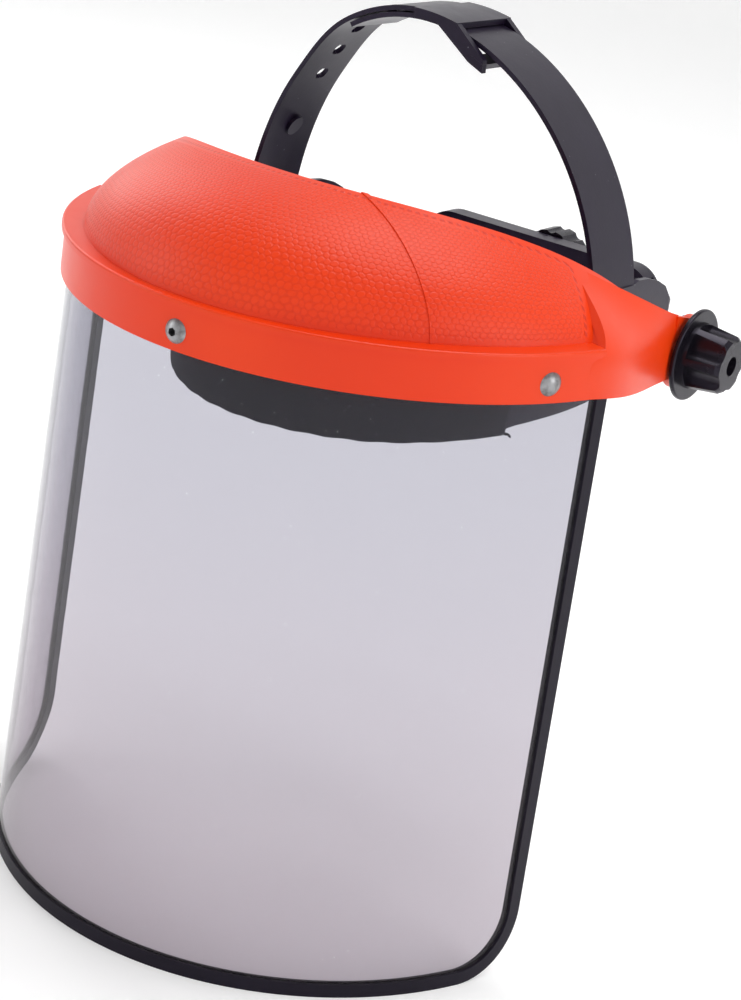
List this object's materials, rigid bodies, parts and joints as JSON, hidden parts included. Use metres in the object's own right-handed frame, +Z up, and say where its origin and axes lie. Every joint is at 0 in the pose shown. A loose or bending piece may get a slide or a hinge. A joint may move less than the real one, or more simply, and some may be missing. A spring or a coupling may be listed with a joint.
{
  "type": "face shield",
  "caption": "Face shield: orange tilting brow guard with a clear edged visor on an adjustable headband with crown strap and rear ratchet.",
  "frame": {"origin": "middle of the tilt axis, centred between the two pivot knobs", "axes": "+Z up, wearer faces -Y, +X to the wearer's left along the tilt axis"},
  "size_m": [0.242, 0.2554, 0.3205],
  "materials": {
    "orange_plastic": "satin moulded plastic with a fine cell texture on the crown",
    "clear_sheet": "clear polished plastic sheet with a faint grey violet tint",
    "black_rubber": "soft black edging",
    "black_plastic": "satin black moulded plastic",
    "knob_plastic": "glossy black moulded plastic",
    "sweat_fabric": "dark lined foam sweatband",
    "steel": "plain zinc plated steel",
    "brass": "turned brass"
  },
  "bodies": {
    "headgear": {"front_headband": "black_plastic", "sweatband": "sweat_fabric", "pivot_bracket_left": "black_plastic", "pivot_bracket_right": "black_plastic", "pivot_bolts": "steel", "pivot_friction_washers": "black_rubber", "crown_strap_left": "black_plastic", "crown_strap_right": "black_plastic", "side_rivets": "black_plastic", "rear_housing": "black_plastic", "rear_cover": "black_plastic", "rear_cover_screws": "steel", "rear_detent_spring": "steel"},
    "visor": {"brow_guard": "orange_plastic", "visor_sheet": "clear_sheet", "visor_edge_trim": "black_rubber", "centre_visor_fastener": "steel", "side_visor_fasteners": "steel", "visor_fastener_washers": "steel", "visor_fastener_nuts": "steel"},
    "clamp_washer_left": {"clamp_washer_left": "steel"},
    "clamp_washer_right": {"clamp_washer_right": "steel"},
    "clamp_knob_left": {"clamp_knob_left": "knob_plastic", "clamp_knob_insert_left": "brass"},
    "clamp_knob_right": {"clamp_knob_right": "knob_plastic", "clamp_knob_insert_right": "brass"},
    "rack_left": {"rack_strap_left": "black_plastic", "rack_lap_pin_left": "black_plastic"},
    "rack_right": {"rack_strap_right": "black_plastic", "rack_lap_pin_right": "black_plastic"},
    "rear_adjuster": {"rear_knob": "knob_plastic", "rear_pinion": "black_plastic", "rear_knob_screw": "steel"}
  },
  "joints": [
    {"name": "visor_tilt", "type": "hinge", "parent": "headgear", "child": "visor", "pos_m": [0, 0, 0], "axis": [-1, 0, 0], "range_deg": [0, 85]},
    {"name": "left_knob_turn", "type": "hinge", "parent": "clamp_washer_left", "child": "clamp_knob_left", "pos_m": [0.11, 0, 0], "axis": [1, 0, 0], "range_deg": [0, 540]},
    {"name": "left_clamp_travel", "type": "slide", "parent": "headgear", "child": "clamp_washer_left", "axis": [1, 0, 0], "range_m": [0, 0.0016]},
    {"name": "right_knob_turn", "type": "hinge", "parent": "clamp_washer_right", "child": "clamp_knob_right", "pos_m": [-0.11, 0, 0], "axis": [-1, 0, 0], "range_deg": [0, 540]},
    {"name": "right_clamp_travel", "type": "slide", "parent": "headgear", "child": "clamp_washer_right", "axis": [-1, 0, 0], "range_m": [0, 0.0016]},
    {"name": "rear_knob_turn", "type": "hinge", "parent": "headgear", "child": "rear_adjuster", "pos_m": [0, 0.08, -0.007], "axis": [0, 1, 0], "range_deg": [0, 90]},
    {"name": "left_rack_slide", "type": "slide", "parent": "headgear", "child": "rack_left", "axis": [-1, 0, 0], "range_m": [0, 0.0081]},
    {"name": "right_rack_slide", "type": "slide", "parent": "headgear", "child": "rack_right", "axis": [1, 0, 0], "range_m": [0, 0.0081]}
  ],
  "couplings": [
    {"joint": "left_clamp_travel", "follows": "left_knob_turn", "m_per_rad": 0.00015915},
    {"joint": "right_clamp_travel", "follows": "right_knob_turn", "m_per_rad": 0.00015915},
    {"joint": "left_rack_slide", "follows": "rear_knob_turn", "m_per_rad": 0.005},
    {"joint": "right_rack_slide", "follows": "rear_knob_turn", "m_per_rad": 0.005}
  ]
}
